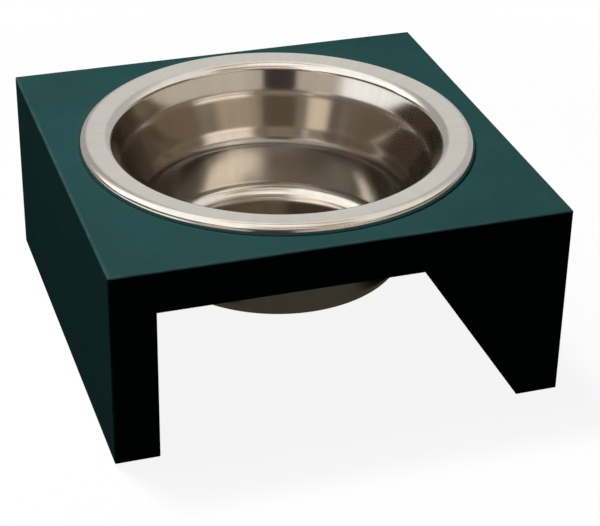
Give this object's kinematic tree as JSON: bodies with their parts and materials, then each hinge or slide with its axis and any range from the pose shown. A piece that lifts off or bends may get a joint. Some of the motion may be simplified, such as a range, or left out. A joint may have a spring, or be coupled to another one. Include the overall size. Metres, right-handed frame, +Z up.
{
  "type": "dog feeder stand",
  "caption": "Low dog feeding stand: a square painted board top on slab legs, open front and back, with a stainless bowl that hangs by its rim in a round hole and lifts out.",
  "frame": {"origin": "middle of the floor under the stand, at the level of the pads' lower faces", "axes": "+X across the legs to the right, +Y to the back, +Z up"},
  "size_m": [0.254, 0.25, 0.1216],
  "materials": {
    "paint": "dark teal matt paint over board",
    "steel": "satin rim, polished inside",
    "beech": "bare beech",
    "pad_rubber": "matt"
  },
  "bodies": {
    "stand": {"top_board": "paint", "left_leg": "paint", "right_leg": "paint", "left_dowel_1": "beech", "left_dowel_2": "beech", "left_dowel_3": "beech", "left_dowel_4": "beech", "right_dowel_1": "beech", "right_dowel_2": "beech", "right_dowel_3": "beech", "right_dowel_4": "beech", "left_front_foot": "pad_rubber", "left_rear_foot": "pad_rubber", "right_front_foot": "pad_rubber", "right_rear_foot": "pad_rubber"},
    "bowl": {"bowl": "steel"}
  },
  "joints": [
    {"name": "bowl_lift", "type": "slide", "parent": "stand", "child": "bowl", "axis": [0, 0, 1], "range_m": [0, 0.09]}
  ]
}
